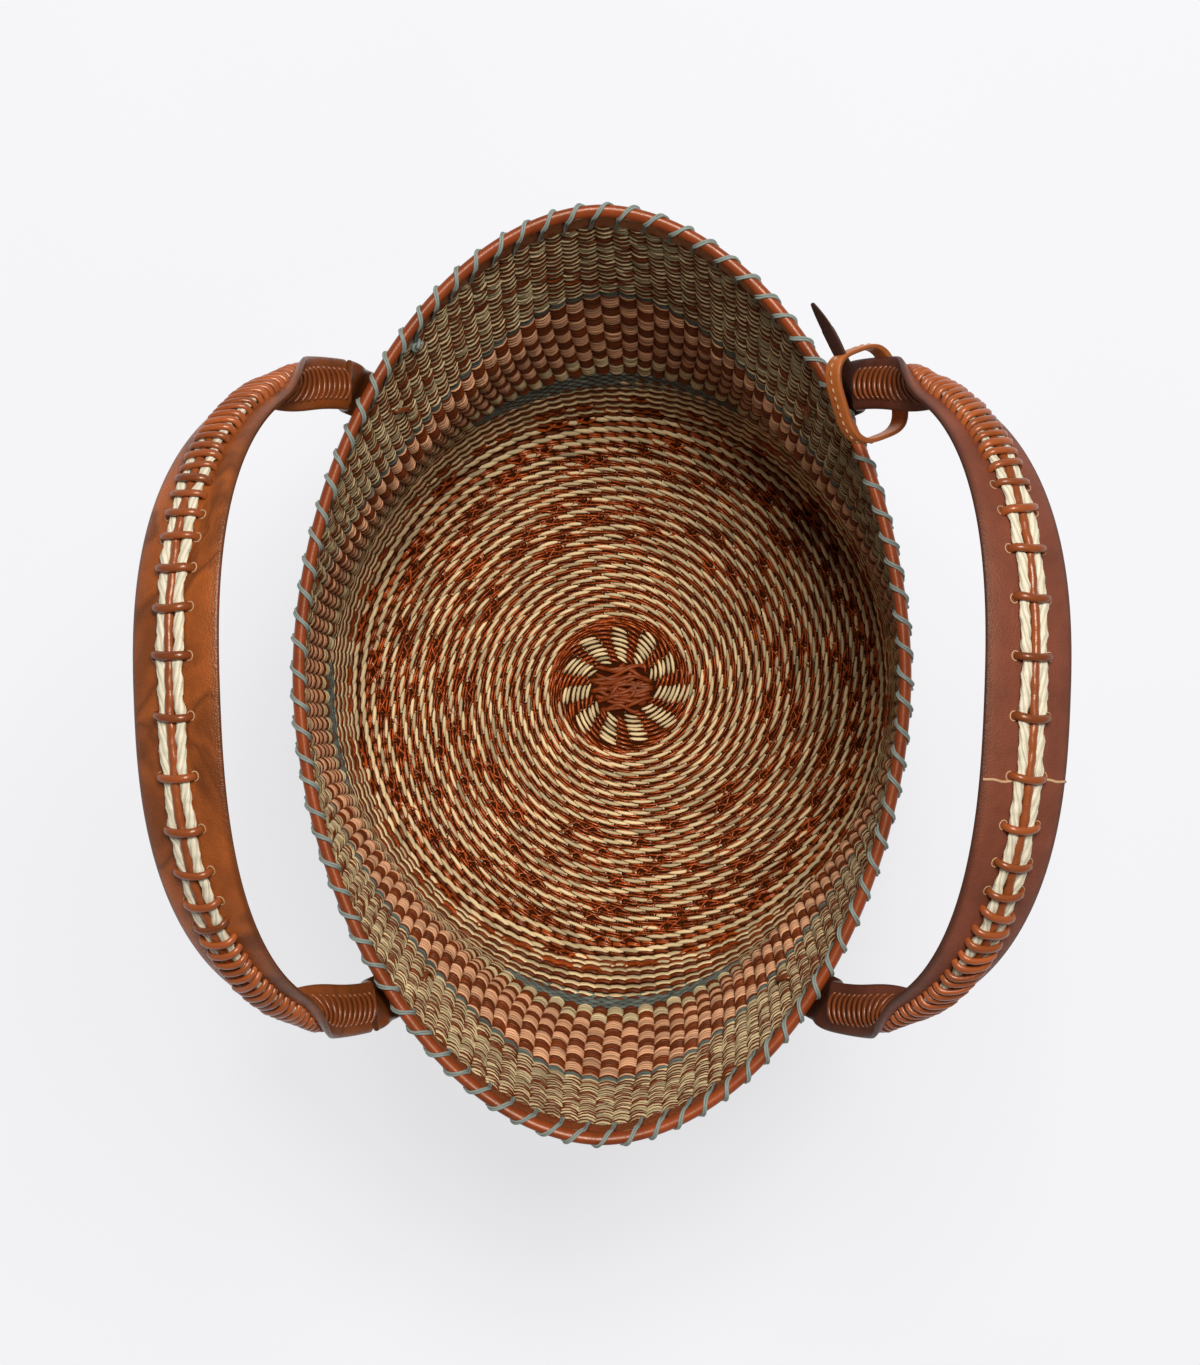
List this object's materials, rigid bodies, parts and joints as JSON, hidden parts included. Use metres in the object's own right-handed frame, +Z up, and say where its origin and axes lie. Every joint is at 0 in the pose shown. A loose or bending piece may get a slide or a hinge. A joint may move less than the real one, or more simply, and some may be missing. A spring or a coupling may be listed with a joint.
{
  "type": "basket tote bag",
  "caption": "Oval woven basket bag with coloured bands, a leather-bound whip-stitched rim, and laced leather arch handles that fold; a leather tag band slides on a handle leg.",
  "frame": {"origin": "on the floor under the middle of the overall box", "axes": "+X along the basket's length, +Z up, and the handle with the tag is on the -Y side"},
  "size_m": [0.4409, 0.3924, 0.4348],
  "materials": {
    "raffia_natural": "matte",
    "raffia_rust": "matte",
    "raffia_blush": "matte",
    "raffia_sage": "matte",
    "cord_sage": "matte",
    "cane": "matte",
    "leather_rim": "glossy",
    "leather_front": "matte",
    "leather_rear": "satin",
    "leather_lace": "satin",
    "cord_cream": "matte",
    "leather_tag": "satin",
    "leather_dark": "satin"
  },
  "bodies": {
    "root": {"woven_base": "raffia_rust", "centre_knot": "raffia_rust", "lower_sage_band": "raffia_sage", "check_band": "raffia_blush", "upper_sage_band": "raffia_sage", "upper_wall": "raffia_natural", "rim_core": "cane", "rim_binding": "leather_rim", "rim_whip_stitch": "cord_sage", "whip_stitch_knot": "cord_sage", "front_right_strap_tab": "leather_front", "front_right_tab_lace": "leather_lace", "front_left_strap_tab": "leather_front", "front_left_tab_lace": "leather_lace", "rear_right_strap_tab": "leather_rear", "rear_right_tab_lace": "leather_lace", "rear_left_strap_tab": "leather_rear", "rear_left_tab_lace": "leather_lace"},
    "front_handle": {"front_handle_strap": "leather_front", "front_outer_cream_cord": "cord_cream", "front_inner_cream_cord": "cord_cream", "front_lace_and_centre_cord": "leather_lace"},
    "rear_handle": {"rear_handle_strap": "leather_rear", "rear_outer_cream_cord": "cord_cream", "rear_inner_cream_cord": "cord_cream", "rear_lace_and_centre_cord": "leather_lace"},
    "tag_loop": {"tag_loop": "leather_tag"},
    "tag_tongue": {"tag_tongue": "leather_dark"}
  },
  "joints": [
    {"name": "front_handle_swing", "type": "hinge", "parent": "root", "child": "front_handle", "pos_m": [-0.00954, -0.11034, 0.292], "axis": [-0.9992, 0.0392, 0], "range_deg": [-56, 56]},
    {"name": "rear_handle_swing", "type": "hinge", "parent": "root", "child": "rear_handle", "pos_m": [-0.00954, 0.11034, 0.292], "axis": [0.9992, 0.0392, 0], "range_deg": [-56, 56]},
    {"name": "tag_loop_slide", "type": "slide", "parent": "front_handle", "child": "tag_loop", "axis": [-0.0176, -0.449, 0.8934], "range_m": [0, 0.006]},
    {"name": "tag_tongue_swing", "type": "hinge", "parent": "tag_loop", "child": "tag_tongue", "pos_m": [0.1506, -0.10965, 0.31453], "axis": [0.0176, 0.449, -0.8934], "range_deg": [-3, 25]}
  ]
}
